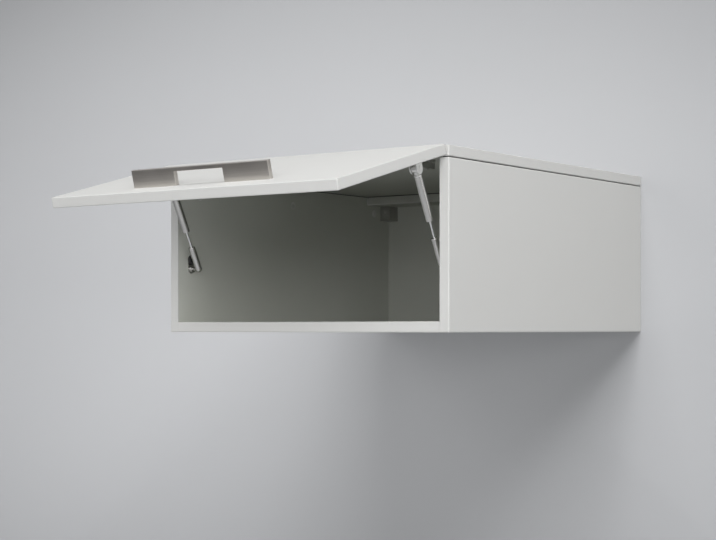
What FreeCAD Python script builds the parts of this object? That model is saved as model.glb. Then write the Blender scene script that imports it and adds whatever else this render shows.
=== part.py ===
import FreeCAD, Part
import math
import os

# Lift up wall cabinet: a board carcass, one top-hung flap that stands open, and a
# telescopic stay on each side.  Millimetres, +Z up, the wall behind is the plane Y = 0
# and the front faces -Y.  The origin is the middle of the bottom panel's rear edge.

Vector = FreeCAD.Vector
AXIS_X = Vector(1, 0, 0)
AXIS_Y = Vector(0, 1, 0)
AXIS_Z = Vector(0, 0, 1)

# ---------------------------------------------------------------- carcass sizes
cabinet_width = 600.0
cabinet_height = 300.0
cabinet_depth = 680.0
board_thickness = 18.0
arris_radius = 2.0
inner_arris_radius = 0.5     # where a side panel's front edge meets the bottom panel's
seam_height = 1.6            # shadow gap between a board's edge and the board above it
seam_inset = 4.0             # how far that gap reaches in from the board's faces
back_thickness = 8.0
back_recess = 11.0           # from the wall plane to the back panel
groove_depth = 6.0
groove_clearance = 0.1
stretcher_depth = 78.0

# ---------------------------------------------------------------- joinery sizes
cam_first = 60.0             # first cam from the front edge
cam_pitch = 274.0
cam_rows = 3
cam_radius = 7.4
cam_depth = 14.0
cam_distance = 34.0          # cam centre to the joint
cam_recess_length = 8.0
cam_recess_width = 1.6
cam_recess_depth = 2.5
bolt_head_radius = 3.2
bolt_head_length = 2.6
bolt_neck_radius = 2.0
bolt_neck_length = 7.0
bolt_shank_radius = 3.2
bolt_thread_radius = 2.9
bolt_thread_length = 11.0
dowel_radius = 4.0
dowel_in_face = 11.0         # length of dowel in the face of the board it stands on
dowel_in_edge = 19.0         # length of dowel in the edge of the other board
dowel_chamfer = 0.8
stretcher_dowel_inset = 12.0  # from the stretcher's front and back edges
fit_clearance = 0.04         # radial, for pins and screws in their own holes
hole_bottom = 1.0            # free length past the end of a pin or screw

# ---------------------------------------------------------------- flap sizes
flap_thickness = 18.0
flap_gap = 3.0               # closed flap to the carcass front
flap_reveal = 1.0            # closed flap below the top of the cabinet
flap_bottom_reveal = 1.0
flap_side_inset = 2.5
open_angle = 75.0
pin_depth = 9.6              # hinge axis inside the flap's inner face
pin_from_edge = 8.1          # hinge axis from the flap's hinge end

# ---------------------------------------------------------------- handle sizes
handle_length = 285.0
handle_projection = 29.5
handle_thickness = 8.0
handle_from_edge = 39.3
handle_softening = 0.8
grip_length = 101.0
grip_height = 22.9
handle_screw_spacing = 192.0
handle_screw_radius = 2.0
handle_screw_reach = 12.0    # thread inside the handle
handle_screw_head_radius = 4.2
handle_screw_head_height = 2.6

# ---------------------------------------------------------------- concealed hinge sizes
hinge_from_side = 78.0
cup_radius = 17.5
cup_wall = 1.2
cup_from_edge = 3.0
cup_depth = 13.5
cup_floor = 1.0
cup_flange_thickness = 1.2
cup_ear_spacing = 48.0
cup_ear_radius = 6.0
cup_ear_shift = 6.0          # ears lie this far past the cup's middle
cup_screw_length = 12.0
cheek_thickness = 2.4        # walls inside the cup that hold the pin
cheek_clearance = 0.4
cheek_reach = 6.0            # cheeks reach this far past the pin
cheek_skin = 0.4             # cheek left beyond each end of the pin
hinge_pin_radius = 1.3
hinge_knuckle_radius = 2.4
arm_neck_width = 12.0
arm_neck_thickness = 3.0
arm_bend_radius = 5.0
arm_below_ceiling = 12.0
arm_width = 16.0
arm_wall = 2.0
arm_front = 4.0              # where the deep part of the arm starts, behind the front edge
arm_end = 65.0
plate_from_front = 37.0
plate_screw_spacing = 32.0
plate_thickness = 2.0
plate_depth = 20.0
plate_end = 8.0
rail_length = 46.0
rail_clearance = 0.4
arm_screw_setback = 16.0     # arm screws, each side of the plate's middle

# ---------------------------------------------------------------- stay sizes
strut_offset = 19.4          # stay's line from the side panel's inner face
flap_pivot_along = 41.2
flap_pivot_out = 13.7
side_pivot_from_front = 34.0
side_pivot_height = 114.5
sleeve_radius = 6.2
sleeve_softening = 0.7
sleeve_above_pivot = 43.0
sleeve_bore_depth = 20.0
rod_radius = 2.2
rod_exposed = 30.0
tube_radius = 6.6
tube_wall = 0.9
tube_lip = 0.6
gland_length = 7.0
piston_length = 6.0
piston_rest = 3.0            # piston above the gland when the flap stands open
running_clearance = 0.06
shoulder_to_pivot = 12.2
shoulder_length = 1.6
plug_length = 8.0
eye_radius = 6.2
eye_thickness = 10.0
eye_neck_width = 6.0
eye_neck_thickness = 7.0
lug_clearance = 0.5
lug_thickness = 2.0
lug_radius = 8.5
pivot_pin_radius = 2.5
pivot_head_radius = 3.8
pivot_head_height = 1.2
bracket_base_thickness = 2.0
bracket_base_length = 48.0
bracket_corner = 3.0
bracket_screw_spacing = 34.0
side_plate_radius = 8.0
side_plate_thickness = 2.0
side_cap_above_pivot = 17.2
side_cap_radius = 9.2
side_cap_thickness = 5.0
side_cap_wall = 1.2
stud_flange_radius = 6.5
stud_flange_thickness = 4.5
stud_spigot_radius = 3.0
stud_shank_radius = 2.5
stud_shank_length = 12.0
stud_to_sleeve = 0.3         # the open pivot: the stud stops short of the sleeve

# ---------------------------------------------------------------- wall hanger sizes
hanger_width = 24.0
hanger_depth = 30.0
hanger_height = 30.0
hanger_wall = 2.0
hook_width = 12.0
hook_thickness = 3.0
hook_lip_drop = 12.0
hook_from_wall = 1.0
hook_block_length = 14.0
hook_block_height = 18.0
hook_slot_margin = 3.0
hanger_screw_spacing = 9.0
hanger_plug_radius = 5.0
hanger_plug_length = 11.0
hanger_plug_spacing = 16.0

# ---------------------------------------------------------------- small screw sizes
wood_screw_radius = 1.9
wood_screw_head_radius = 3.6
wood_screw_head_height = 1.8
wood_screw_length = 13.0
machine_screw_radius = 2.0
machine_screw_head_radius = 3.4
machine_screw_head_height = 1.6
machine_screw_length = 7.0
fitting_softening = 1.0      # rims of the side brackets' studs and caps
recess_share = 0.55          # length of a cross recess in its head, as a share of the head
recess_width = 0.9
recess_depth = 1.0

# ---------------------------------------------------------------- places worked out
half_width = cabinet_width / 2
inner_x = half_width - board_thickness
front_y = -cabinet_depth
bottom_z = -board_thickness / 2
top_z = bottom_z + cabinet_height
floor_z = bottom_z + board_thickness
ceiling_z = top_z - board_thickness
seam_z = ceiling_z - seam_height
back_front_y = -(back_recess + back_thickness)
stretcher_z = ceiling_z - board_thickness
stretcher_front_y = back_front_y - stretcher_depth

flap_inner_y = front_y - flap_gap
flap_outer_y = flap_inner_y - flap_thickness
flap_top_z = top_z - flap_reveal
flap_bottom_z = bottom_z + flap_bottom_reveal
flap_half_width = half_width - flap_side_inset
hinge_point = Vector(0, flap_inner_y - pin_depth, flap_top_z - pin_from_edge)
hinge_x = half_width - hinge_from_side
cup_z = flap_top_z - cup_from_edge - cup_radius

strut_x = inner_x - strut_offset
side_pivot = Vector(strut_x, front_y + side_pivot_from_front, bottom_z + side_pivot_height)
flap_pivot_closed = Vector(strut_x, flap_inner_y + flap_pivot_out, flap_top_z - flap_pivot_along)

hanger_x = inner_x - hanger_width / 2
hanger_z = stretcher_z - hanger_height / 2


# ================================================================ helpers
def block(x_span, y_span, z_span):
    """A box from three (low, high) spans."""
    size = [high - low for low, high in (x_span, y_span, z_span)]
    return Part.makeBox(*size, Vector(x_span[0], y_span[0], z_span[0]))


def around(middle, width):
    """The (low, high) span of a width about its middle."""
    return (middle - width / 2, middle + width / 2)


def rod_between(start, end, radius):
    """A round bar from one point to another."""
    line = end - start
    return Part.makeCylinder(radius, line.Length, start, line)


def joined(pieces):
    """One solid out of touching pieces."""
    return pieces[0].fuse(pieces[1:]).removeSplitter()


def softened(shape, radius, wanted):
    """Round the edges whose middle passes the test."""
    edges = [edge for edge in shape.Edges if wanted(edge.CenterOfMass)]
    return shape.makeFillet(radius, edges)


def mirrored(shape):
    """The same piece on the other side of the cabinet."""
    return shape.mirror(Vector(0, 0, 0), AXIS_X)


def opened(shape):
    """A piece of the closed flap, turned about the hinge axis to where it stands open."""
    turned = shape.copy()
    turned.rotate(hinge_point, AXIS_X, -open_angle)
    return turned


def placed(shape, point, x_axis, z_axis):
    """A piece drawn about its own origin, set at a point with two of its axes given."""
    turn = FreeCAD.Rotation(x_axis, z_axis.cross(x_axis), z_axis, "ZXY")
    moved = shape.copy()
    moved.Placement = FreeCAD.Placement(point, turn)
    return moved


def pan_screw(point, outward, radius, length, head_radius, head_height):
    """A screw with a rounded head on the surface at the point, with a cross recess."""
    head = Part.makeCylinder(head_radius, head_height)
    head = softened(head, head_height / 2, lambda middle: middle.z > head_height / 2)
    shank = Part.makeCylinder(radius, length, Vector(0, 0, -length))
    tip = Part.makeCone(0, radius, radius, Vector(0, 0, -length - radius))
    screw = joined([head, shank, tip])
    reach = head_radius * recess_share
    depth_span = (head_height - recess_depth, head_height + recess_depth)
    slot = block((-reach, reach), around(0, recess_width), depth_span)
    cross_slot = block(around(0, recess_width), (-reach, reach), depth_span)
    screw = screw.cut([slot, cross_slot])
    side = AXIS_X if abs(outward.x) < 0.5 else AXIS_Z
    return placed(screw, point, side, outward)


def screw_hole(point, outward, radius, length):
    """The hole for a screw's shank and tip, open at the surface."""
    deep = length + radius + hole_bottom
    return rod_between(point + outward * hole_bottom, point - outward * deep, radius + fit_clearance)


def wood_screw(point, outward, length=wood_screw_length):
    return pan_screw(point, outward, wood_screw_radius, length,
                     wood_screw_head_radius, wood_screw_head_height)


def wood_screw_hole(point, outward, length=wood_screw_length):
    return screw_hole(point, outward, wood_screw_radius, length)


def machine_screw(point, outward, length=machine_screw_length):
    return pan_screw(point, outward, machine_screw_radius, length,
                     machine_screw_head_radius, machine_screw_head_height)


def both_sides(shapes):
    """Right-hand pieces and their left-hand mirror images."""
    return shapes + [mirrored(shape) for shape in shapes]


def save(name, shapes):
    """Write one node: a single solid or a group of separate solids."""
    node = shapes[0] if len(shapes) == 1 else Part.makeCompound(shapes)
    if not node.isValid() or len(node.Solids) != len(shapes):
        raise ValueError("node " + name + " is not made of closed valid solids")
    node.exportStep("parts/" + name + ".step")
    print("%-28s solids %3d  volume %12.1f" % (name, len(node.Solids), node.Volume))


def save_pair(name, shape):
    """Write a right-hand node and its left-hand mirror image."""
    save(name + "_right", [shape])
    save(name + "_left", [mirrored(shape)])


# ================================================================ joinery
def cam_places():
    """Cam centres on the right: (point, direction of the bolt, outward normal of the face)."""
    places = []
    for row in range(cam_rows):
        y = front_y + cam_first + row * cam_pitch
        places.append((Vector(inner_x, y, ceiling_z - cam_distance), AXIS_Z, -AXIS_X))
        places.append((Vector(inner_x - cam_distance, y, floor_z), AXIS_X, AXIS_Z))
    return places


def cam_disc():
    """Eccentric disc: face at z = 0, the bolt enters along +X at half the board's depth."""
    disc = Part.makeCylinder(cam_radius, cam_depth, Vector(0, 0, -cam_depth))
    bolt_line = Vector(-bolt_head_radius, 0, -board_thickness / 2)
    slot = Part.makeCylinder(bolt_head_radius + fit_clearance, 2 * cam_radius, bolt_line, AXIS_X)
    depth_span = (-cam_recess_depth, cam_recess_depth)
    along = block(around(0, cam_recess_length), around(0, cam_recess_width), depth_span)
    across = block(around(0, cam_recess_width), around(0, cam_recess_length), depth_span)
    return disc.cut([slot, along, across])


def cam_bolt():
    """Connecting bolt along +X, from its head in the cam to its thread in the other board."""
    z = -board_thickness / 2
    neck_start = bolt_head_length / 2
    shank_start = neck_start + bolt_neck_length
    thread_end = cam_distance + bolt_thread_length
    head = rod_between(Vector(-neck_start, 0, z), Vector(neck_start, 0, z), bolt_head_radius)
    neck = rod_between(Vector(neck_start, 0, z), Vector(shank_start, 0, z), bolt_neck_radius)
    shank = rod_between(Vector(shank_start, 0, z), Vector(cam_distance, 0, z), bolt_shank_radius)
    thread = rod_between(Vector(cam_distance, 0, z), Vector(thread_end, 0, z), bolt_thread_radius)
    return joined([head, neck, shank, thread])


def cam_cutters():
    """Pocket, bolt hole and thread hole of every cam on the right."""
    z = -board_thickness / 2
    pocket = Part.makeCylinder(cam_radius + fit_clearance, 2 * cam_depth, Vector(0, 0, -cam_depth))
    hole = rod_between(Vector(0, 0, z), Vector(cam_distance, 0, z), bolt_shank_radius + fit_clearance)
    thread_end = Vector(cam_distance + bolt_thread_length + hole_bottom, 0, z)
    thread = rod_between(Vector(0, 0, z), thread_end, bolt_thread_radius + fit_clearance)
    cutter = joined([pocket, hole, thread])
    return [placed(cutter, point, along, face) for point, along, face in cam_places()]


def dowel_lines():
    """Dowels on the right: (point on the joint, direction into the board's face)."""
    lines = []
    for row in range(cam_rows - 1):
        y = front_y + cam_first + (row + 0.5) * cam_pitch
        lines.append((Vector(half_width - board_thickness / 2, y, ceiling_z), AXIS_Z))
        lines.append((Vector(inner_x, y, bottom_z + board_thickness / 2), AXIS_X))
    for y in (stretcher_front_y + stretcher_dowel_inset, back_front_y - stretcher_dowel_inset):
        lines.append((Vector(inner_x, y, stretcher_z + board_thickness / 2), AXIS_X))
    return lines


def dowel(point, into_face):
    end_a = point - into_face * dowel_in_edge
    end_b = point + into_face * dowel_in_face
    pin = rod_between(end_a, end_b, dowel_radius)
    return pin.makeChamfer(dowel_chamfer, [edge for edge in pin.Edges if edge.Closed])


def dowel_hole(point, into_face):
    end_a = point - into_face * (dowel_in_edge + hole_bottom)
    end_b = point + into_face * (dowel_in_face + hole_bottom)
    return rod_between(end_a, end_b, dowel_radius + fit_clearance)


def dowel_holes():
    return [dowel_hole(point, line) for point, line in dowel_lines()]


# ================================================================ carcass
def back_groove():
    """The groove for the back panel, cut into every board round it."""
    reach = inner_x + groove_depth
    y_span = (back_front_y - groove_clearance, -back_recess + groove_clearance)
    return block((-reach, reach), y_span, (floor_z - groove_depth, ceiling_z + groove_depth))


def tongued(board, x_span, y_span):
    """A board with the narrower tongue on it that meets the top panel."""
    return joined([board, block(x_span, y_span, (seam_z, ceiling_z))])


def side_panel():
    """Right side panel: its tongue carries the top panel, with a shadow gap all round."""
    panel = block((inner_x, half_width), (front_y, 0), (bottom_z, seam_z))
    panel = softened(panel, arris_radius, lambda p: p.x > inner_x + arris_radius and p.y < -arris_radius)
    panel = softened(panel, inner_arris_radius,
                     lambda p: p.x < inner_x + inner_arris_radius and p.y < front_y + arris_radius
                     and bottom_z + arris_radius < p.z < seam_z - arris_radius)
    panel = tongued(panel, (inner_x + seam_inset, half_width - seam_inset),
                    (front_y + seam_inset, -seam_inset))
    cutters = [back_groove()] + cam_cutters() + dowel_holes()
    return panel.cut(cutters + hanger_plug_holes() + side_bracket_holes())


def top_panel():
    panel = block((-half_width, half_width), (front_y, 0), (ceiling_z, top_z))
    panel = softened(panel, arris_radius, lambda p: p.y < -arris_radius)
    cutters = both_sides(cam_cutters() + dowel_holes() + hinge_plate_screw_holes())
    return panel.cut([back_groove()] + cutters)


def bottom_panel():
    panel = block((-inner_x, inner_x), (front_y, 0), (bottom_z, floor_z))
    panel = softened(panel, arris_radius,
                     lambda p: p.y < front_y + arris_radius and abs(p.x) < arris_radius)
    return panel.cut([back_groove()] + both_sides(cam_cutters() + dowel_holes()))


def rear_stretcher():
    """Flat board under the top panel at the back, with the same shadow gap in front."""
    x_span = (-inner_x, inner_x)
    board = block(x_span, (stretcher_front_y, back_front_y), (stretcher_z, seam_z))
    front_edge = stretcher_front_y + arris_radius
    board = softened(board, arris_radius, lambda p: p.y < front_edge and abs(p.x) < arris_radius)
    board = tongued(board, x_span, (stretcher_front_y + seam_inset, back_front_y))
    return board.cut(both_sides(dowel_holes()))


def back_panel():
    reach = inner_x + groove_depth - groove_clearance
    z_span = (floor_z - groove_depth + groove_clearance, ceiling_z + groove_depth - groove_clearance)
    panel = block((-reach, reach), (back_front_y, -back_recess), z_span)
    slot = block(around(hanger_x, hook_width + 2 * hook_slot_margin),
                 (back_front_y - hook_slot_margin, -back_recess + hook_slot_margin),
                 around(hanger_z, hook_block_height + 2 * hook_slot_margin))
    return panel.cut(both_sides([slot]))


# ================================================================ wall hangers
def hanger_body():
    """Folded steel case on the side panel, under the stretcher and against the back panel."""
    x_span = around(hanger_x, hanger_width)
    y_span = (back_front_y - hanger_depth, back_front_y)
    z_span = around(hanger_z, hanger_height)
    case = block(x_span, y_span, z_span)
    hollow = block(around(hanger_x, hanger_width - 2 * hanger_wall),
                   (y_span[0] + hanger_wall, y_span[1] + hanger_wall),
                   around(hanger_z, hanger_height - 2 * hanger_wall))
    return case.cut([hollow] + hanger_screw_holes() + hanger_plug_holes())


def hook_block_front():
    return back_front_y - hanger_depth + 2 * hanger_wall


def hanger_hook():
    """Hook through the slot in the back panel, its lip turned down behind a wall rail."""
    block_front = hook_block_front()
    root = block(around(hanger_x, hook_width), (block_front, block_front + hook_block_length),
                 around(hanger_z, hook_block_height))
    lip_back = -hook_from_wall
    bar_z = (hanger_z + hook_block_height / 2 - hook_thickness, hanger_z + hook_block_height / 2)
    bar = block(around(hanger_x, hook_width), (block_front, lip_back), bar_z)
    lip = block(around(hanger_x, hook_width), (lip_back - hook_thickness, lip_back),
                (bar_z[1] - hook_lip_drop, bar_z[1]))
    return joined([root, bar, lip]).cut(hanger_screw_holes())


def hanger_screw_points():
    y = back_front_y - hanger_depth
    return [Vector(hanger_x, y, z) for z in around(hanger_z, hanger_screw_spacing)]


def hanger_screw_holes():
    length = hanger_wall + hook_block_length
    return [screw_hole(point, -AXIS_Y, machine_screw_radius, length) for point in hanger_screw_points()]


def hanger_screws():
    length = hanger_wall + hook_block_length - hook_thickness
    return [machine_screw(point, -AXIS_Y, length) for point in hanger_screw_points()]


def hanger_plug(radius, free_end):
    """One plug from inside the case, through its wall, into the side panel."""
    y = back_front_y - hanger_depth / 2
    plugs = []
    for z in around(hanger_z, hanger_plug_spacing):
        start = Vector(inner_x - hanger_wall, y, z)
        end = Vector(inner_x + hanger_plug_length + free_end, y, z)
        plugs.append(rod_between(start, end, radius))
    return plugs


def hanger_plug_holes():
    return hanger_plug(hanger_plug_radius + fit_clearance, hole_bottom)


# ================================================================ concealed hinges
def plate_screw_points():
    y = front_y + plate_from_front
    return [Vector(x, y, ceiling_z - plate_thickness) for x in around(hinge_x, plate_screw_spacing)]


def hinge_plate_screw_holes():
    return [wood_screw_hole(point, -AXIS_Z) for point in plate_screw_points()]


def arm_screw_points():
    y = front_y + plate_from_front
    z = ceiling_z - arm_below_ceiling
    return [Vector(hinge_x, y_screw, z) for y_screw in around(y, 2 * arm_screw_setback)]


def arm_screw_holes():
    length = arm_below_ceiling - plate_thickness
    return [screw_hole(point, -AXIS_Z, machine_screw_radius, length) for point in arm_screw_points()]


def hinge_plate():
    """Plate screwed under the top panel, with a rail that the hinge arm sits on."""
    y = front_y + plate_from_front
    z_plate = (ceiling_z - plate_thickness, ceiling_z)
    wings = block(around(hinge_x, plate_screw_spacing + 2 * plate_end), around(y, plate_depth), z_plate)
    wings = softened(wings, plate_end / 2, lambda p: abs(p.z - sum(z_plate) / 2) < plate_thickness / 4)
    rail_width = arm_width - 2 * arm_wall - 2 * rail_clearance
    z_rail = (ceiling_z - arm_below_ceiling + arm_wall, ceiling_z)
    rail = block(around(hinge_x, rail_width), around(y, rail_length), z_rail)
    plate = joined([wings, rail])
    return plate.cut(hinge_plate_screw_holes() + arm_screw_holes())


def hinge_arm():
    """Channel-shaped arm with a goose neck that reaches round into the cup to the pin."""
    low_z = ceiling_z - arm_below_ceiling
    channel = block(around(hinge_x, arm_width), (front_y + arm_front, front_y + arm_end),
                    (low_z, ceiling_z - plate_thickness - rail_clearance))
    hollow = block(around(hinge_x, arm_width - 2 * arm_wall),
                   (front_y + arm_front + arm_wall, front_y + arm_end + arm_wall),
                   (low_z + arm_wall, ceiling_z))
    channel = channel.cut(hollow)
    x_neck = around(hinge_x, arm_neck_width)
    bend_y = hinge_point.y - arm_neck_thickness / 2 + arm_bend_radius
    bend_z = low_z + arm_bend_radius
    inside = arm_bend_radius - arm_neck_thickness
    level = block(x_neck, (bend_y, front_y + arm_front + arm_wall), (low_z, low_z + arm_neck_thickness))
    upright = block(x_neck, around(hinge_point.y, arm_neck_thickness), (bend_z, hinge_point.z))
    start = Vector(x_neck[0], bend_y, bend_z)
    bend = Part.makeCylinder(arm_bend_radius, arm_neck_width, start, AXIS_X)
    bend = bend.cut(Part.makeCylinder(inside, arm_neck_width, start, AXIS_X))
    corner = block(x_neck, (bend_y - arm_bend_radius, bend_y), (low_z, bend_z))
    bend = bend.common(corner)
    knuckle_start = Vector(x_neck[0], hinge_point.y, hinge_point.z)
    knuckle = Part.makeCylinder(hinge_knuckle_radius, arm_neck_width, knuckle_start, AXIS_X)
    bore = Part.makeCylinder(hinge_pin_radius + fit_clearance, arm_neck_width, knuckle_start, AXIS_X)
    arm = joined([channel, level, bend, upright, knuckle])
    return arm.cut([bore] + arm_screw_holes())


def cup_ear_points():
    z = cup_z - cup_ear_shift
    y = flap_inner_y + cup_flange_thickness
    return [Vector(x, y, z) for x in around(hinge_x, cup_ear_spacing)]


def cup_screw_holes():
    return [wood_screw_hole(point, AXIS_Y, cup_screw_length) for point in cup_ear_points()]


def cup_axis_cylinder(radius, low_y, high_y):
    return rod_between(Vector(hinge_x, low_y, cup_z), Vector(hinge_x, high_y, cup_z), radius)


def cup_cheeks(cavity):
    """Two walls inside the cup, one each side of the arm, that carry the hinge pin."""
    floor_y = flap_inner_y - cup_depth
    z_span = (hinge_point.z - cheek_reach, flap_top_z)
    cheeks = []
    for sign in (-1, 1):
        near = hinge_x + sign * (arm_neck_width / 2 + cheek_clearance)
        far = near + sign * cheek_thickness
        cheek = block(sorted((near, far)), (floor_y, flap_inner_y), z_span)
        cheeks.append(cheek.common(cavity))
    return cheeks


def hinge_cup():
    """Cup sunk in the closed flap's inner face, with a flange and two screw ears."""
    floor_y = flap_inner_y - cup_depth
    flange_y = flap_inner_y + cup_flange_thickness
    cup = cup_axis_cylinder(cup_radius - fit_clearance, floor_y, flange_y)
    ears = []
    for point in cup_ear_points():
        ears.append(rod_between(Vector(point.x, flap_inner_y, point.z), point, cup_ear_radius))
    web = block(around(hinge_x, cup_ear_spacing), (flap_inner_y, flange_y),
                around(cup_z - cup_ear_shift, 2 * cup_ear_radius))
    cavity = cup_axis_cylinder(cup_radius - cup_wall, floor_y + cup_floor, flange_y)
    shell = joined([cup, web] + ears).cut(cavity)
    return joined([shell] + cup_cheeks(cavity)).cut([hinge_pin_bore()] + cup_screw_holes())


def pin_reach():
    return arm_neck_width / 2 + cheek_clearance + cheek_thickness - cheek_skin


def hinge_pin():
    middle = Vector(hinge_x, hinge_point.y, hinge_point.z)
    reach = AXIS_X * pin_reach()
    return rod_between(middle - reach, middle + reach, hinge_pin_radius)


def hinge_pin_bore():
    middle = Vector(hinge_x, hinge_point.y, hinge_point.z)
    reach = AXIS_X * (pin_reach() + fit_clearance)
    return rod_between(middle - reach, middle + reach, hinge_pin_radius + fit_clearance)


# ================================================================ flap
def handle_screw_points():
    z = flap_bottom_z + handle_from_edge + handle_thickness / 2
    return [Vector(x, flap_inner_y, z) for x in around(0, handle_screw_spacing)]


def handle_screw_length():
    return flap_thickness + handle_screw_reach


def handle_screw_holes():
    length = handle_screw_length()
    return [screw_hole(point, AXIS_Y, handle_screw_radius, length) for point in handle_screw_points()]


def flap_panel():
    """The flap in its closed place."""
    panel = block((-flap_half_width, flap_half_width), (flap_outer_y, flap_inner_y),
                  (flap_bottom_z, flap_top_z))
    panel = panel.makeFillet(arris_radius, panel.Edges)
    pocket = cup_axis_cylinder(cup_radius, flap_inner_y - cup_depth, flap_inner_y + hole_bottom)
    right = [pocket] + cup_screw_holes() + flap_bracket_screw_holes()
    return panel.cut(both_sides(right) + handle_screw_holes())


def handle():
    """Metal bar across the flap: two broad feet and a finger gap between them."""
    low_z = flap_bottom_z + handle_from_edge
    z_span = (low_z, low_z + handle_thickness)
    bar = block(around(0, handle_length), (flap_outer_y - handle_projection, flap_outer_y), z_span)
    grip = block(around(0, grip_length), (flap_outer_y - grip_height, flap_outer_y), z_span)
    bar = bar.cut(grip)
    bar = softened(bar, handle_softening, lambda p: p.y < flap_outer_y - handle_softening)
    return bar.cut(handle_screw_holes())


def handle_screws():
    length = handle_screw_length()
    return [pan_screw(point, AXIS_Y, handle_screw_radius, length, handle_screw_head_radius,
                      handle_screw_head_height) for point in handle_screw_points()]


# ================================================================ flap brackets
def flap_bracket_screw_points():
    y = flap_inner_y + bracket_base_thickness
    middle = flap_pivot_closed.z
    return [Vector(strut_x, y, z) for z in around(middle, bracket_screw_spacing)]


def flap_bracket_screw_holes():
    return [wood_screw_hole(point, AXIS_Y) for point in flap_bracket_screw_points()]


def lug_outer_width():
    return eye_thickness + 2 * lug_clearance + 2 * lug_thickness


def flap_bracket():
    """U-shaped bracket on the closed flap, its two lugs either side of the stay's eye."""
    pivot = flap_pivot_closed
    width = lug_outer_width()
    y_base = (flap_inner_y, flap_inner_y + bracket_base_thickness)
    base = block(around(strut_x, width), y_base, around(pivot.z, bracket_base_length))
    base = softened(base, bracket_corner,
                    lambda p: abs(p.y - sum(y_base) / 2) < bracket_base_thickness / 4
                    and abs(p.z - pivot.z) > bracket_base_length / 2 - bracket_corner)
    lug_plate = block(around(strut_x, width), (flap_inner_y, pivot.y), around(pivot.z, 2 * lug_radius))
    lug_round = rod_between(pivot - AXIS_X * (width / 2), pivot + AXIS_X * (width / 2), lug_radius)
    gap = block(around(strut_x, width - 2 * lug_thickness),
                (y_base[1], pivot.y + 2 * lug_radius), around(pivot.z, bracket_base_length))
    lugs = lug_plate.fuse(lug_round).cut(gap)
    bore = rod_between(pivot - AXIS_X * width, pivot + AXIS_X * width, pivot_pin_radius + fit_clearance)
    return joined([base, lugs]).cut([bore] + flap_bracket_screw_holes())


def pivot_pin():
    """Rivet through both lugs and the eye, with a head at each end."""
    pivot = flap_pivot_closed
    half = AXIS_X * (lug_outer_width() / 2)
    head = AXIS_X * pivot_head_height
    shank = rod_between(pivot - half, pivot + half, pivot_pin_radius)
    head_a = rod_between(pivot - half - head, pivot - half, pivot_head_radius)
    head_b = rod_between(pivot + half, pivot + half + head, pivot_head_radius)
    return joined([shank, head_a, head_b])


# ================================================================ stays
def flap_pivot_open():
    turn = FreeCAD.Rotation(AXIS_X, -open_angle)
    return hinge_point + turn.multVec(flap_pivot_closed - hinge_point)


def strut_length():
    return (flap_pivot_open() - side_pivot).Length


def along_strut(shape):
    """A piece drawn up +Z from the lower pivot, set on the open stay's line."""
    return placed(shape, side_pivot, AXIS_X, (flap_pivot_open() - side_pivot).normalize())


def tube_start():
    return sleeve_above_pivot + rod_exposed


def tube_end():
    return strut_length() - shoulder_to_pivot


def upright_rod(radius, start, end):
    return Part.makeCylinder(radius, end - start, Vector(0, 0, start))


def strut_tube():
    """Pressure tube, open at both ends, its lower edge rolled to a small lip."""
    bore_radius = tube_radius - tube_wall
    tube = upright_rod(tube_radius, tube_start(), tube_end())
    tube = softened(tube, tube_lip, lambda p: p.z < tube_start() + tube_lip)
    return tube.cut(upright_rod(bore_radius, tube_start(), tube_end()))


def strut_gland():
    """Guide and seal that closes the tube round the rod."""
    gland = upright_rod(tube_radius - tube_wall - fit_clearance, tube_start(), tube_start() + gland_length)
    bore = upright_rod(rod_radius + running_clearance, tube_start(), tube_start() + gland_length)
    return gland.cut(bore)


def strut_eye():
    """End fitting of the tube: plug, shoulder, neck and a flat eye for the pivot pin."""
    plug = upright_rod(tube_radius - tube_wall - fit_clearance, tube_end() - plug_length, tube_end())
    shoulder = upright_rod(tube_radius, tube_end(), tube_end() + shoulder_length)
    neck = block(around(0, eye_neck_thickness), around(0, eye_neck_width), (tube_end(), strut_length()))
    pivot = Vector(0, 0, strut_length())
    half = AXIS_X * (eye_thickness / 2)
    eye = rod_between(pivot - half, pivot + half, eye_radius)
    bore = rod_between(pivot - half, pivot + half, pivot_pin_radius + running_clearance)
    return joined([plug, shoulder, neck, eye]).cut(bore)


def piston_start():
    return tube_start() + gland_length + piston_rest


def strut_rod():
    """Thin rod from inside the sleeve to inside the piston."""
    return upright_rod(rod_radius, sleeve_above_pivot - sleeve_bore_depth, piston_start() + piston_length)


def strut_piston():
    bore_radius = tube_radius - tube_wall
    piston = upright_rod(bore_radius - running_clearance, piston_start(), piston_start() + piston_length)
    bore = upright_rod(rod_radius + fit_clearance, piston_start(), piston_start() + piston_length)
    return piston.cut(bore)


def strut_sleeve():
    """End fitting of the rod: a round sleeve whose closed end is rounded at the lower pivot."""
    sleeve = upright_rod(sleeve_radius, 0, sleeve_above_pivot)
    sleeve = softened(sleeve, sleeve_softening, lambda p: p.z > sleeve_above_pivot - sleeve_softening)
    end = Part.makeSphere(sleeve_radius)
    bore = upright_rod(rod_radius + fit_clearance, sleeve_above_pivot - sleeve_bore_depth,
                       sleeve_above_pivot)
    return joined([sleeve, end]).cut(bore)


# ================================================================ side brackets
def side_cap_middle():
    return Vector(inner_x, side_pivot.y, side_pivot.z + side_cap_above_pivot)


def side_plate_face_x():
    return inner_x - side_plate_thickness


def stud_shank(radius, free_end):
    start = Vector(side_plate_face_x(), side_pivot.y, side_pivot.z)
    end = Vector(inner_x + stud_shank_length + free_end, side_pivot.y, side_pivot.z)
    return rod_between(start, end, radius)


def side_bracket_screw_point():
    middle = side_cap_middle()
    return Vector(side_plate_face_x(), middle.y, middle.z)


def side_bracket_holes():
    return [stud_shank(stud_shank_radius + fit_clearance, hole_bottom),
            wood_screw_hole(side_bracket_screw_point(), -AXIS_X)]


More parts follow.
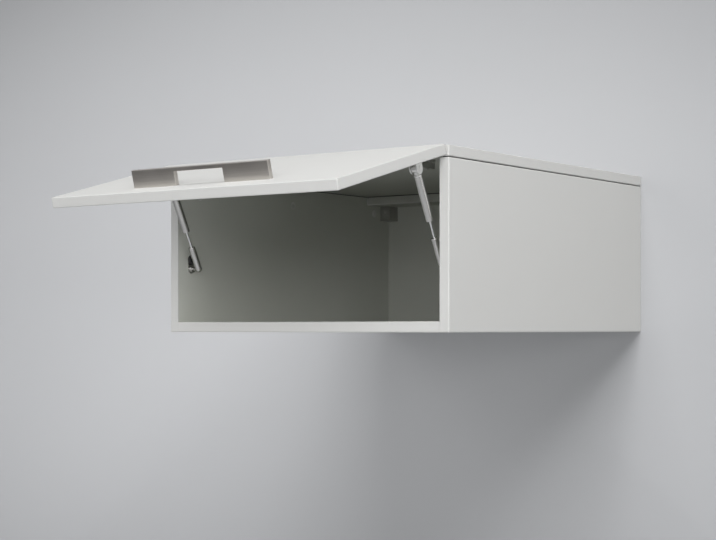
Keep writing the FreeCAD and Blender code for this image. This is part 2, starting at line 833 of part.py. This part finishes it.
def side_bracket():
    """Oblong plate on the side panel under the stud and the cap."""
    low = Vector(side_plate_face_x(), side_pivot.y, side_pivot.z)
    high = side_bracket_screw_point()
    through = AXIS_X * side_plate_thickness
    plate = block((low.x, inner_x), around(low.y, 2 * side_plate_radius), (low.z, high.z))
    ends = [rod_between(point, point + through, side_plate_radius) for point in (low, high)]
    return joined([plate] + ends).cut(side_bracket_holes())


def side_stud():
    """Flanged stud in the side panel that points at the stay's lower pivot."""
    seat = Vector(side_plate_face_x(), side_pivot.y, side_pivot.z)
    tip_x = strut_x + sleeve_radius + stud_to_sleeve
    flange = rod_between(seat - AXIS_X * stud_flange_thickness, seat, stud_flange_radius)
    flange = softened(flange, fitting_softening, lambda p: p.x < seat.x - stud_flange_thickness / 2)
    spigot = rod_between(Vector(tip_x, seat.y, seat.z), seat, stud_spigot_radius)
    return joined([flange, spigot, stud_shank(stud_shank_radius, 0)])


def side_cap():
    """Round cap over the bracket's fixing screw."""
    seat = side_bracket_screw_point()
    cap = rod_between(seat - AXIS_X * side_cap_thickness, seat, side_cap_radius)
    cap = softened(cap, fitting_softening, lambda p: p.x < seat.x - side_cap_thickness / 2)
    inside = AXIS_X * (side_cap_thickness - side_cap_wall)
    return cap.cut(rod_between(seat - inside, seat, wood_screw_head_radius + side_cap_wall))


# ================================================================ all nodes
def save_carcass():
    save_pair("side_panel", side_panel())
    save("top_panel", [top_panel()])
    save("bottom_panel", [bottom_panel()])
    save("back_panel", [back_panel()])
    save("rear_stretcher", [rear_stretcher()])
    discs = [placed(cam_disc(), point, along, face) for point, along, face in cam_places()]
    bolts = [placed(cam_bolt(), point, along, face) for point, along, face in cam_places()]
    save("cam_discs", both_sides(discs))
    save("cam_bolts", both_sides(bolts))
    save("wood_dowels", both_sides([dowel(point, line) for point, line in dowel_lines()]))


def save_hangers():
    save_pair("hanger_body", hanger_body())
    save_pair("hanger_hook", hanger_hook())
    save("hanger_adjusting_screws", both_sides(hanger_screws()))
    save("hanger_plugs", both_sides(hanger_plug(hanger_plug_radius, 0)))


def save_hinges():
    save_pair("hinge_plate", hinge_plate())
    save_pair("hinge_arm", hinge_arm())
    save_pair("hinge_cup", opened(hinge_cup()))
    save_pair("hinge_pin", opened(hinge_pin()))
    plate_screws = [wood_screw(point, -AXIS_Z) for point in plate_screw_points()]
    save("hinge_plate_screws", both_sides(plate_screws))
    arm_screws = [machine_screw(point, -AXIS_Z) for point in arm_screw_points()]
    save("hinge_arm_screws", both_sides(arm_screws))
    cup_screws = [opened(wood_screw(point, AXIS_Y, cup_screw_length)) for point in cup_ear_points()]
    save("hinge_cup_screws", both_sides(cup_screws))


def save_flap():
    save("flap_panel", [opened(flap_panel())])
    save("handle", [opened(handle())])
    save("handle_screws", [opened(screw) for screw in handle_screws()])
    save_pair("flap_bracket", opened(flap_bracket()))
    save_pair("pivot_pin", opened(pivot_pin()))
    screws = [opened(wood_screw(point, AXIS_Y)) for point in flap_bracket_screw_points()]
    save("flap_bracket_screws", both_sides(screws))


def save_struts():
    save_pair("strut_tube", along_strut(strut_tube()))
    save_pair("strut_gland", along_strut(strut_gland()))
    save_pair("strut_eye", along_strut(strut_eye()))
    save_pair("strut_rod", along_strut(strut_rod()))
    save_pair("strut_piston", along_strut(strut_piston()))
    save_pair("strut_sleeve", along_strut(strut_sleeve()))
    save_pair("side_bracket", side_bracket())
    save_pair("side_stud", side_stud())
    save_pair("side_bracket_cap", side_cap())
    save("side_bracket_screws", both_sides([wood_screw(side_bracket_screw_point(), -AXIS_X)]))


def main():
    os.makedirs("parts", exist_ok=True)
    save_carcass()
    save_hangers()
    save_hinges()
    save_flap()
    save_struts()
    print("stay length open %.2f, flap pivot open %s" % (strut_length(), flap_pivot_open()))


main()
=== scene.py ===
import math

import bpy
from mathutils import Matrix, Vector


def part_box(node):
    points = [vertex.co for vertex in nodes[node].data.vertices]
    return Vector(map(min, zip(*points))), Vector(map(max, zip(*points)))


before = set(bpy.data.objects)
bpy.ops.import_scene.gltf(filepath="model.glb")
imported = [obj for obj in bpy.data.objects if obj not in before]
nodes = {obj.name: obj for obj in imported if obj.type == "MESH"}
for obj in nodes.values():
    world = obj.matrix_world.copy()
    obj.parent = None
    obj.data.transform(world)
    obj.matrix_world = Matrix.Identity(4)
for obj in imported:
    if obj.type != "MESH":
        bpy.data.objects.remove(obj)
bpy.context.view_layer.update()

# The lift up wall cabinet dressed for the picture: metres, +Z up, the wall is the plane
# Y = 0 and the front faces -Y. The flap rests open.

MM = 0.001

# ---------------------------------------------------------------- the picture
IMAGE_WIDTH = 716
IMAGE_HEIGHT = 540
FOCAL_PIXELS = 1621.3        # focal length in pixels of the picture
HORIZON_ROW = 327.82         # picture row of the camera's own height
SENSOR_WIDTH = 36.0
CAMERA_AZIMUTH = 36.156      # degrees, 0 looks along +Y
CAMERA_PLACE = Vector((1.7072, -2.8515, -0.0014))

# ---------------------------------------------------------------- the room
FLOOR_HEIGHT = -1.45
FLOOR_HALF_WIDTH = 8.0
WALL_GAP = 0.0015            # wall face behind the cabinet's rear edges
WALL_HALF_WIDTH = 5.0
WALL_TOP = 4.0
# painted light on the wall: a pool of light painted into its colour, brightest here and darker away from
# it
WALL_LIGHT_POOL_CENTRE = (-1.07, 0.0, -0.110)
WALL_LIGHT_FALLOFF = (0.349, 0.0, 0.680)    # how fast the painted light falls off away from there, per metre
WALL_LIGHT_FALLOFF_LIMIT = 0.6              # the darkest that it gets
WALL_LIGHT_FALLOFF_EASE = 0.2               # how softly it settles there
STAGE_NEAR = 1.75            # past this distance the stage turns into the plain background
STAGE_FAR = 3.2

# ---------------------------------------------------------------- sizes used by the finishes
OPEN_ANGLE = math.radians(75.0)
FLAP_SIZE = (0.595, 0.018, 0.298)
OUTWARD = Vector((0.0, -math.cos(OPEN_ANGLE), math.sin(OPEN_ANGLE)))   # of the open flap
HANDLE_PROJECTION = 29.5 * MM
ARRIS_BAND = (1.52 * MM, 2.185 * MM)   # band of a board's polished rim, which is also painted a shade darker, where narrowest and widest
BAND_JOINT = 2.0 * MM        # edge banding's joint line, in from the arris
JOINT_SOFTNESS = 0.35 * MM   # and how far the line fades to each side
SEAM_HEIGHT = 1.6 * MM       # open seam between the top board and what stands under it
FACE_MARGIN = 0.4 * MM       # a face this far past an inner face still counts as inside
SEAM_SHADE_MARGIN = 0.05 * MM       # the seam's painted shade starts this far below the seam

# ---------------------------------------------------------------- fineness of the marks, in marks a metre
BOARD_CLOUD = 3.0
BOARD_GRAIN = 420.0
ORANGE_PEEL = 900.0
SMUDGES = 14.0
RIM_WEAR = 60.0
HANDLE_LINES = (6.0, 900.0, 900.0)     # drawn out along the bar
HANDLE_CLOUD = 22.0
PLATING_CLOUD = 120.0
PLATING_MARKS = 600.0
PLATING_PITS = 1400.0
PLASTIC_CLOUD = 90.0
PLASTIC_GRIT = 2200.0
BEECH_FIBRES = (900.0, 900.0, 60.0)    # drawn out upwards
WALL_CLOUD = 1.2
ROLLER_MARKS = 260.0
FLOOR_CLOUD = 1.5

# ---------------------------------------------------------------- depth of the marks
PEEL_DEPTH = 0.05 * MM
BRUSHING_DEPTH = 0.02 * MM
PIT_DEPTH = 0.012 * MM
GRIT_DEPTH = 0.04 * MM
FIBRE_DEPTH = 0.05 * MM
ROLLER_DEPTH = 0.1 * MM

# ---------------------------------------------------------------- colours (linear)
BOARD_WHITE = (0.655, 0.655, 0.640)
# painted light: a yellow-green tint on the carcass's inner faces, standing in for the light bounced round
# inside
BOARD_INSIDE_PAINTED_TINT = (0.672, 0.683, 0.632)
# painted shade: the underside of the top board and the rear stretcher's inner faces, darker than the same
# board's white
CEILING_PAINTED_SHADE = (0.500, 0.508, 0.470)
BACK_WHITE = (0.590, 0.600, 0.557)
# painted shade: near black on the tongue's faces in the seam gap under the top board, standing in for its
# shadow
SEAM_PAINTED_SHADE = (0.075, 0.073, 0.065)
HANDLE_GREY = (0.400, 0.370, 0.345)
# painted light and shade on the handle: its light end, reached where the bar is painted lighter towards
# the flap and by its brushed streaks
HANDLE_LIT_AND_BRUSHED = (0.640, 0.610, 0.570)
SATIN_NICKEL = (0.560, 0.555, 0.540)
BRIGHT_ZINC = (0.830, 0.830, 0.810)
PRESSED_STEEL = (0.520, 0.520, 0.510)
CHROME = (0.700, 0.705, 0.710)
ZINC = (0.480, 0.480, 0.460)
BLACK_PLASTIC = (0.020, 0.020, 0.021)
BEECH = (0.420, 0.270, 0.140)
WALL_GREY = (0.560, 0.567, 0.582)
FLOOR_GREY = (0.560, 0.565, 0.575)
BACKGROUND = (0.545, 0.552, 0.567)
BLACK = (0.0, 0.0, 0.0)
WHITE = (1.0, 1.0, 1.0)

# ---------------------------------------------------------------- tones: a colour's darkest and lightest
PAINT_TONES = (0.985, 1.015)
SEAM_SHADE_TONES = (0.80, 1.20)
PLATING_TONES = (0.93, 1.05)
PLASTIC_TONES = (0.85, 1.25)
BEECH_TONES = (0.80, 1.15)
BOARD_CLOUD_SHARE = 0.59     # of a board's tone, the rest is its grain
BRUSHING_SHARE = 0.35        # of the handle's tone, the rest is painted light, lighter towards the flap
BRUSHING_DARKEST = 0.92
RIM_PAINTED_SHADE_TONE = 0.98              # of a board's polished rim: painted a shade darker, a painted shade that tones down its highlight
JOINT_TONE = 0.6             # of the edge banding's joint line
JOINT_STRENGTH = 0.10        # how far that line covers the lacquer

# ---------------------------------------------------------------- gloss: the least and the most roughness
LACQUER_ROUGHNESS = (0.66, 0.75)
LACQUER_SPECULAR = 0.28
RIM_SMOOTHER = 0.08          # how much less rough a board's polished rim is
BRUSHING_ROUGHNESS = (0.29, 0.37)
BEECH_ROUGHNESS = (0.55, 0.75)
HANDLE_CLOUDING = (-0.03, 0.03)        # clouding is roughness taken or added in soft patches
PLATING_CLOUDING = (-0.03, 0.05)
PLASTIC_CLOUDING = (-0.05, 0.07)

# ---------------------------------------------------------------- noise
NOISE_RANGE = (0.3, 0.7)     # nearly all values of a noise lie between these
FINE_NOISE_RANGE = (0.25, 0.75)    # and those of the handle's brushed lines between these


# ================================================================ material helpers
class Graph:
    """A node tree, written one call to a node."""

    def __init__(self, tree):
        self.tree = tree

    def node(self, kind, inputs=None, **settings):
        made = self.tree.nodes.new("ShaderNode" + kind)
        for key, value in settings.items():
            setattr(made, key, value)
        for key, value in (inputs or {}).items():
            self.feed(made.inputs[key], value)
        return made

    def feed(self, socket, value):
        """Link a socket to another one, or give it a plain value."""
        if isinstance(value, bpy.types.NodeSocket):
            self.tree.links.new(value, socket)
        else:
            socket.default_value = value

    def math(self, operation, *values):
        return self.node("Math", dict(enumerate(values)), operation=operation).outputs[0]

    def vector(self, operation, *values):
        """The result of a vector operation: a number for a product or a distance."""
        made = self.node("VectorMath", dict(enumerate(values)), operation=operation)
        return made.outputs["Value" if operation in ("DOT_PRODUCT", "DISTANCE") else "Vector"]

    def axes(self, vector):
        return self.node("SeparateXYZ", {"Vector": vector}).outputs

    def mixed_shader(self, factor, first, second):
        return self.node("MixShader", {0: factor, 1: first, 2: second}).outputs[0]


class Finish(Graph):
    """A material's nodes around its main shader."""

    def __init__(self, name):
        self.material = bpy.data.materials.new(name)
        self.material.use_nodes = True
        super().__init__(self.material.node_tree)
        self.shader = self.tree.nodes["Principled BSDF"]

    def set(self, **inputs):
        """Feed the main shader's sockets, each named with _ for a space."""
        for key, value in inputs.items():
            self.feed(self.shader.inputs[key.replace("_", " ")], value)

    def show(self, surface):
        """Let a mix of shaders take the main shader's place."""
        self.feed(self.tree.nodes["Material Output"].inputs["Surface"], surface)

    def place(self):
        """Coordinates that stay with the piece, in metres in the cabinet's frame."""
        return self.node("TexCoord").outputs["Object"]

    def stretched(self, place, scale):
        return self.node("Mapping", {"Vector": place, "Scale": scale}).outputs[0]

    def noise(self, place, scale, detail=2.0, roughness=0.5):
        inputs = {"Vector": place, "Scale": scale, "Detail": detail, "Roughness": roughness}
        return self.node("TexNoise", inputs).outputs["Fac"]

    def ranged(self, value, low, high, to_low, to_high, smooth=False):
        """A value from low to high, carried over to the range from to_low to to_high."""
        inputs = {"Value": value, "From Min": low, "From Max": high}
        inputs.update({"To Min": to_low, "To Max": to_high})
        kind = "SMOOTHSTEP" if smooth else "LINEAR"
        return self.node("MapRange", inputs, interpolation_type=kind).outputs[0]

    def spread(self, noise, to_low, to_high):
        return self.ranged(noise, *NOISE_RANGE, to_low, to_high)

    def clouded(self, noise, roughness, clouding):
        """A roughness that changes in soft patches."""
        return self.spread(noise, *(roughness + change for change in clouding))

    def mixed(self, factor, first, second):
        made = self.node("Mix", data_type="RGBA")
        self.feed(made.inputs["Factor"], factor)
        self.feed(made.inputs["A"], opaque(first))
        self.feed(made.inputs["B"], opaque(second))
        return made.outputs["Result"]

    def toned(self, factor, colour, tones):
        """A colour between its darkest and its lightest tone."""
        darkest, lightest = tones
        return self.mixed(factor, tinted(colour, darkest), tinted(colour, lightest))

    def bump(self, height, depth, strength):
        inputs = {"Height": height, "Distance": depth, "Strength": strength}
        return self.node("Bump", inputs).outputs[0]

    def edge_distance(self, place, middle, size):
        """How far a point on a box's skin lies from the box's nearest edge."""
        reach = self.vector("ABSOLUTE", self.vector("SUBTRACT", place, middle))
        x, y, z = self.axes(self.vector("SUBTRACT", [length / 2 for length in size], reach))
        low = self.math("MINIMUM", x, y)
        high = self.math("MAXIMUM", x, y)
        return self.math("MAXIMUM", low, self.math("MINIMUM", high, z))

    def inner_face(self, place):
        """1 on the carcass's inner faces, 0 on its outer ones."""
        half_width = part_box("side_panel_right")[0][0]
        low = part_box("bottom_panel")[1][2]
        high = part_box("top_panel")[0][2]
        x, _, z = self.axes(place)
        across = self.math("LESS_THAN", self.math("ABSOLUTE", x), half_width + FACE_MARGIN)
        rise = self.math("ABSOLUTE", self.math("SUBTRACT", z, (low + high) / 2))
        between = self.math("LESS_THAN", rise, (high - low) / 2 + FACE_MARGIN)
        return self.math("MULTIPLY", across, between)


def opaque(colour):
    """A colour with its alpha, or a socket as it is."""
    if isinstance(colour, bpy.types.NodeSocket):
        return colour
    return (*colour, 1.0)


def tinted(colour, factor):
    return tuple(channel * factor for channel in colour)


def middle_and_size(name):
    """The middle and the size of a CAD node's box."""
    low, high = (Vector(corner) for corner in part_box(name))
    return (low + high) / 2, high - low


def dress(material, *names):
    """Give CAD nodes their finish."""
    for name in names:
        slots = nodes[name].material_slots
        for slot in slots:
            slot.material = material
        if not slots:
            nodes[name].data.materials.append(material)


def pair(name):
    return (name + "_right", name + "_left")


# ================================================================ finishes
def lacquer(name, colour, rim=None, inside=None, seam=None):
    """Satin lacquer on board: faint orange peel, soft tone changes, wiped patches.

    rim measures the distance to the board's edges, whose arrises are polished smoother and painted a
    shade darker, a painted shade that tones down their highlight, with the fine joint of the edge banding
    inside them. inside is the colour of the faces within
    the carcass, painted light there: a tint for the light bounced round inside, or painted shade on the
    ceiling. Above the height seam the board is painted near black: painted shade in the seam's gap.
    """
    graph = Finish(name)
    place = graph.place()
    cloud = graph.noise(place, BOARD_CLOUD, detail=3.0)
    grain = graph.noise(place, BOARD_GRAIN, detail=3.0, roughness=0.6)
    tone = graph.math("ADD", graph.spread(cloud, 0.0, BOARD_CLOUD_SHARE),
                      graph.spread(grain, 0.0, 1.0 - BOARD_CLOUD_SHARE))
    surface = graph.toned(tone, colour, PAINT_TONES)
    if inside is not None:
        # The carcass's inner faces get painted light: a tint for the bounced light, or painted shade on
        # the ceiling.
        surface = graph.mixed(graph.inner_face(place), surface, graph.toned(tone, inside, PAINT_TONES))
    smudge = graph.noise(place, SMUDGES, detail=4.0, roughness=0.6)
    roughness = graph.spread(smudge, *LACQUER_ROUGHNESS)
    if rim is not None:
        distance = rim(graph, place)
        wear = graph.noise(place, RIM_WEAR, detail=4.0, roughness=0.65)
        polished_and_shaded_rim = graph.math("LESS_THAN", distance, graph.spread(wear, *ARRIS_BAND))
        # painted shade: the rim's colour is toned a shade darker to tone down its highlight
        surface = graph.mixed(polished_and_shaded_rim, surface, tinted(colour, RIM_PAINTED_SHADE_TONE))
        off_joint = graph.math("ABSOLUTE", graph.math("SUBTRACT", distance, BAND_JOINT))
        joint = graph.ranged(off_joint, 0.0, JOINT_SOFTNESS, JOINT_STRENGTH, 0.0, smooth=True)
        surface = graph.mixed(joint, surface, tinted(colour, JOINT_TONE))
        roughness = graph.math("SUBTRACT", roughness, graph.math("MULTIPLY", polished_and_shaded_rim, RIM_SMOOTHER))
    if seam is not None:
        # painted shade: above the seam height the board is painted near black, for the shadow in the gap
        seam_shade = graph.math("GREATER_THAN", graph.axes(place)["Z"], seam)
        surface = graph.mixed(seam_shade, surface, graph.toned(grain, SEAM_PAINTED_SHADE, SEAM_SHADE_TONES))
    peel = graph.noise(place, ORANGE_PEEL, detail=1.0)
    graph.set(Base_Color=surface, Roughness=roughness, Specular_IOR_Level=LACQUER_SPECULAR)
    graph.set(Normal=graph.bump(peel, PEEL_DEPTH, strength=0.5))
    return graph.material


def board_rim(name):
    """The rim measure of a board that lies square to the frame."""
    middle, size = middle_and_size(name)
    return lambda graph, place: graph.edge_distance(place, middle, size)


def flap_rim(graph, place):
    """The rim measure of the open flap, whose own axes are turned about X."""
    middle, _ = middle_and_size("flap_panel")
    inputs = {"Vector": place, "Center": middle, "Angle": OPEN_ANGLE}
    turned = graph.node("VectorRotate", inputs, rotation_type="X_AXIS").outputs[0]
    return graph.edge_distance(turned, middle, FLAP_SIZE)


def brushed_handle():
    """Metal bar brushed along its length, with painted light and shade: lighter towards the flap it
    stands on.
    """
    graph = Finish("handle_metal")
    place = graph.place()
    lines = graph.noise(graph.stretched(place, HANDLE_LINES), 1.0, detail=4.0, roughness=0.7)
    cloud = graph.noise(place, HANDLE_CLOUD, detail=3.0)
    foot = Vector(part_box("flap_panel")[1]).dot(OUTWARD)
    height = graph.vector("DOT_PRODUCT", place, OUTWARD)
    # painted light: the bar is painted lighter towards the flap and darker towards its top, standing in
    # for how light falls on it
    painted_light = graph.ranged(height, foot, foot + HANDLE_PROJECTION, 1.0 - BRUSHING_SHARE, 0.0, smooth=True)
    brushing = graph.ranged(lines, *FINE_NOISE_RANGE, 0.0, BRUSHING_SHARE)
    tone = graph.math("ADD", brushing, painted_light)
    surface = graph.mixed(tone, tinted(HANDLE_GREY, BRUSHING_DARKEST), HANDLE_LIT_AND_BRUSHED)
    roughness = graph.math("ADD", graph.spread(cloud, *HANDLE_CLOUDING),
                           graph.ranged(lines, *FINE_NOISE_RANGE, *BRUSHING_ROUGHNESS))
    graph.set(Base_Color=surface, Metallic=1.0, Roughness=roughness)
    graph.set(Normal=graph.bump(lines, BRUSHING_DEPTH, strength=0.6))
    return graph.material


def plated_metal(name, colour, roughness):
    """Plated metal with fine pitting, faint handling marks and soft tone changes."""
    graph = Finish(name)
    place = graph.place()
    cloud = graph.noise(place, PLATING_CLOUD, detail=4.0, roughness=0.6)
    marks = graph.noise(place, PLATING_MARKS, detail=3.0, roughness=0.7)
    pits = graph.noise(place, PLATING_PITS, detail=2.0)
    graph.set(Base_Color=graph.toned(marks, colour, PLATING_TONES), Metallic=1.0)
    graph.set(Roughness=graph.clouded(cloud, roughness, PLATING_CLOUDING))
    graph.set(Normal=graph.bump(pits, PIT_DEPTH, strength=0.5))
    return graph.material


def moulded_plastic(name, colour, roughness):
    """Moulded plastic with a fine spark-eroded texture."""
    graph = Finish(name)
    place = graph.place()
    cloud = graph.noise(place, PLASTIC_CLOUD, detail=3.0)
    grit = graph.noise(place, PLASTIC_GRIT, detail=2.0)
    graph.set(Base_Color=graph.toned(cloud, colour, PLASTIC_TONES))
    graph.set(Roughness=graph.clouded(cloud, roughness, PLASTIC_CLOUDING))
    graph.set(Normal=graph.bump(grit, GRIT_DEPTH, strength=0.6))
    return graph.material


def beech_wood():
    """Plain beech with its fibres."""
    graph = Finish("beech")
    fibres = graph.noise(graph.stretched(graph.place(), BEECH_FIBRES), 1.0, detail=4.0)
    graph.set(Base_Color=graph.toned(fibres, BEECH, BEECH_TONES))
    graph.set(Roughness=graph.spread(fibres, *BEECH_ROUGHNESS))
    graph.set(Normal=graph.bump(fibres, FIBRE_DEPTH, strength=0.6))
    return graph.material


# ================================================================ the pieces' finishes
def dress_board(name, inside=None, seam=None):
    dress(lacquer("white_" + name, BOARD_WHITE, board_rim(name), inside, seam), name)


def dress_boards():
    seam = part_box("top_panel")[0][2] - SEAM_HEIGHT - SEAM_SHADE_MARGIN
    for name in pair("side_panel"):
        dress_board(name, BOARD_INSIDE_PAINTED_TINT, seam)
    # The top board's underside and the rear stretcher's inner faces get painted shade.
    dress_board("rear_stretcher", CEILING_PAINTED_SHADE, seam)
    dress_board("top_panel", CEILING_PAINTED_SHADE)
    dress_board("bottom_panel", BOARD_INSIDE_PAINTED_TINT)
    dress(lacquer("white_flap_panel", BOARD_WHITE, flap_rim), "flap_panel")
    dress(lacquer("white_back_panel", BACK_WHITE), "back_panel")


def dress_stays():
    nickel = plated_metal("stay_metal", SATIN_NICKEL, roughness=0.22)
    for name in ("strut_tube", "strut_sleeve", "strut_piston", "side_bracket", "side_stud"):
        dress(nickel, *pair(name))
    bright = plated_metal("bracket_metal", BRIGHT_ZINC, roughness=0.34)
    for name in ("flap_bracket", "pivot_pin", "strut_eye"):
        dress(bright, *pair(name))
    dress(plated_metal("rod_metal", CHROME, roughness=0.12), *pair("strut_rod"))
    black = moulded_plastic("black_plastic", BLACK_PLASTIC, roughness=0.42)
    for name in ("side_bracket_cap", "strut_gland"):
        dress(black, *pair(name))


def dress_fittings():
    steel = plated_metal("hinge_metal", PRESSED_STEEL, roughness=0.3)
    for name in ("hinge_plate", "hinge_arm", "hinge_cup"):
        dress(steel, *pair(name))
    zinc = plated_metal("zinc", ZINC, roughness=0.36)
    for name in ("hanger_body", "hanger_hook", "hinge_pin"):
        dress(zinc, *pair(name))
    for part in ("hinge_plate", "hinge_arm", "hinge_cup", "handle", "flap_bracket", "side_bracket"):
        dress(zinc, part + "_screws")
    dress(zinc, "cam_bolts", "hanger_adjusting_screws", "hanger_plugs")
    dress(plated_metal("cam_metal", BRIGHT_ZINC, roughness=0.45), "cam_discs")
    dress(beech_wood(), "wood_dowels")


# ================================================================ stage
def plane(name, corners, material):
    mesh = bpy.data.meshes.new(name)
    mesh.from_pydata(corners, [], [range(len(corners))])
    mesh.materials.append(material)
    made = bpy.data.objects.new(name, mesh)
    bpy.context.scene.collection.objects.link(made)
    return made


def fading_away(graph, middle):
    """The stage's own finish near the cabinet, and the plain background far away from it."""
    distance = graph.vector("DISTANCE", graph.place(), middle)
    amount = graph.ranged(distance, STAGE_NEAR, STAGE_FAR, 0.0, 1.0, smooth=True)
    seen = graph.node("LightPath").outputs["Is Camera Ray"]
    glow = graph.node("Emission", {"Color": opaque(BACKGROUND)}).outputs[0]
    graph.material.cycles.emission_sampling = "NONE"
    return graph.mixed_shader(graph.math("MULTIPLY", amount, seen), graph.shader.outputs[0], glow)


def wall_paint():
    """Painted wall that shows from its front only, so that the cabinet's back can be seen. Its colour
    carries a painted pool of light, darker away from its centre.
    """
    graph = Finish("wall_paint")
    place = graph.place()
    cloud = graph.noise(place, WALL_CLOUD)
    roll = graph.noise(place, ROLLER_MARKS, detail=3.0)
    # painted light: the wall's colour darkens with distance from the pool's centre
    reach = graph.vector("MULTIPLY", graph.vector("SUBTRACT", place, WALL_LIGHT_POOL_CENTRE), WALL_LIGHT_FALLOFF)
    squared = graph.vector("DOT_PRODUCT", reach, reach)
    light_falloff = graph.math("SMOOTH_MIN", squared, WALL_LIGHT_FALLOFF_LIMIT, WALL_LIGHT_FALLOFF_EASE)
    graph.set(Base_Color=graph.mixed(light_falloff, graph.toned(cloud, WALL_GREY, PAINT_TONES), BLACK))
    graph.set(Roughness=0.9, Specular_IOR_Level=0.1)
    graph.set(Normal=graph.bump(roll, ROLLER_DEPTH, strength=0.3))
    behind = graph.node("NewGeometry").outputs["Backfacing"]
    clear = graph.node("BsdfTransparent").outputs[0]
    graph.show(graph.mixed_shader(behind, fading_away(graph, (0.0, WALL_GAP, 0.0)), clear))
    return graph.material


def floor_paint():
    """Pale floor with soft tone changes."""
    graph = Finish("floor_paint")
    cloud = graph.noise(graph.place(), FLOOR_CLOUD, detail=3.0)
    graph.set(Base_Color=graph.toned(cloud, FLOOR_GREY, PAINT_TONES))
    graph.set(Roughness=0.8, Specular_IOR_Level=0.2)
    graph.show(fading_away(graph, (0.0, 0.0, FLOOR_HEIGHT)))
    return graph.material


def build_stage():
    """The floor, and the wall behind the cabinet, which takes light but gives none back to it."""
    half = FLOOR_HALF_WIDTH
    plane("floor", [(-half, -half, FLOOR_HEIGHT), (half, -half, FLOOR_HEIGHT),
                    (half, half, FLOOR_HEIGHT), (-half, half, FLOOR_HEIGHT)], floor_paint())
    side = WALL_HALF_WIDTH
    wall = plane("wall", [(-side, WALL_GAP, FLOOR_HEIGHT), (side, WALL_GAP, FLOOR_HEIGHT),
                          (side, WALL_GAP, WALL_TOP), (-side, WALL_GAP, WALL_TOP)], wall_paint())
    wall.visible_shadow = False
    wall.visible_diffuse = False
    wall.visible_glossy = False


# ================================================================ light
LIGHT_TARGET = Vector((0.0, -0.5, 0.15))
LEFT_PLACE = (-2.5, -4.0, 1.2)
TOP_RIGHT_PLACE = (1.8, -1.4, 3.0)
AMBIENT = 0.035


def soft_lamp(name, place, size, level, on_cabinet=True, on_wall=True, mirrored=True):
    """A square soft box aimed at the cabinet; level is the brightness it gives a white face there."""
    place = Vector(place)
    aim = LIGHT_TARGET - place
    data = bpy.data.lights.new(name, "AREA")
    data.shape = "SQUARE"
    data.size = size
    data.energy = level * (math.pi * aim.length) ** 2
    lamp = bpy.data.objects.new(name, data)
    lamp.location = place
    lamp.rotation_euler = aim.to_track_quat("-Z", "Y").to_euler()
    lamp.visible_glossy = mirrored
    bpy.context.scene.collection.objects.link(lamp)
    if not (on_cabinet and on_wall):
        light_wall_apart(lamp, excluded=on_cabinet)


def light_wall_apart(lamp, excluded):
    """Let a lamp light everything but the wall, or else the wall alone."""
    lit = bpy.data.collections.new(lamp.name + "_lights")
    lit.objects.link(bpy.data.objects["wall"])
    lamp.light_linking.receiver_collection = lit
    if excluded:
        lit.collection_objects[0].light_linking.link_state = "EXCLUDE"


def build_lamps():
    soft_lamp("top_left_lamp", (-1.0, -2.0, 3.0), size=2.0, level=0.273, on_wall=False)
    soft_lamp("top_right_lamp", TOP_RIGHT_PLACE, size=2.0, level=0.462)
    soft_lamp("left_lamp", LEFT_PLACE, size=2.5, level=0.044, on_wall=False)
    soft_lamp("front_lamp", (0.0, -4.6, 0.8), size=2.5, level=0.175)
    soft_lamp("right_lamp", (2.6, -4.2, 1.6), size=2.5, level=0.525, on_wall=False)
    soft_lamp("side_lamp", (4.0, -0.5, 0.2), size=1.6, level=0.160, on_wall=False)
    soft_lamp("low_lamp", (1.4, -3.9, -0.1), size=1.2, level=0.046, on_wall=False)
    soft_lamp("back_lamp", (-1.7, 3.6, 1.0), size=1.6, level=0.40, on_wall=False, mirrored=False)
    soft_lamp("far_side_lamp", (-4.0, -0.2, 0.6), size=2.0, level=0.30, on_wall=False, mirrored=False)
    soft_lamp("wall_left_lamp", LEFT_PLACE, size=2.5, level=0.212, on_cabinet=False)
    soft_lamp("wall_right_lamp", TOP_RIGHT_PLACE, size=2.0, level=0.709, on_cabinet=False)
    soft_lamp("wall_side_lamp", (4.0, -0.9, 0.2), size=1.6, level=0.586, on_cabinet=False)
    soft_lamp("wall_near_lamp", (2.4, -0.9, 2.2), size=0.8, level=0.369, on_cabinet=False)
    soft_lamp("wall_top_lamp", (0.4, -2.2, 3.4), size=1.5, level=0.674, on_cabinet=False)


def build_world():
    """Faint even light from all round, and the plain background for what is seen or mirrored."""
    world = bpy.data.worlds.new("studio")
    world.use_nodes = True
    bpy.context.scene.world = world
    graph = Graph(world.node_tree)
    ambient = graph.tree.nodes["Background"]
    graph.feed(ambient.inputs["Color"], opaque(WHITE))
    graph.feed(ambient.inputs["Strength"], AMBIENT)
    pale = graph.node("Background", {"Color": opaque(BACKGROUND)})
    rays = graph.node("LightPath").outputs
    mirrored = graph.math("MAXIMUM", rays["Is Glossy Ray"], rays["Is Transmission Ray"])
    seen = graph.math("MAXIMUM", rays["Is Camera Ray"], mirrored)
    surface = graph.mixed_shader(seen, ambient.outputs[0], pale.outputs[0])
    graph.feed(graph.tree.nodes["World Output"].inputs["Surface"], surface)


# ================================================================ camera
def build_camera():
    data = bpy.data.cameras.new("camera")
    data.sensor_width = SENSOR_WIDTH
    data.lens = FOCAL_PIXELS / IMAGE_WIDTH * SENSOR_WIDTH
    data.shift_y = (HORIZON_ROW - IMAGE_HEIGHT / 2) / IMAGE_WIDTH
    camera = bpy.data.objects.new("camera", data)
    camera.location = CAMERA_PLACE
    azimuth = math.radians(CAMERA_AZIMUTH)
    look = Vector((-math.sin(azimuth), math.cos(azimuth), 0.0))
    camera.rotation_euler = look.to_track_quat("-Z", "Y").to_euler()
    bpy.context.scene.collection.objects.link(camera)
    bpy.context.scene.camera = camera


dress_boards()
dress(brushed_handle(), "handle")
dress_stays()
dress_fittings()
build_stage()
build_lamps()
build_world()
build_camera()
bpy.context.scene.view_settings.view_transform = "Standard"
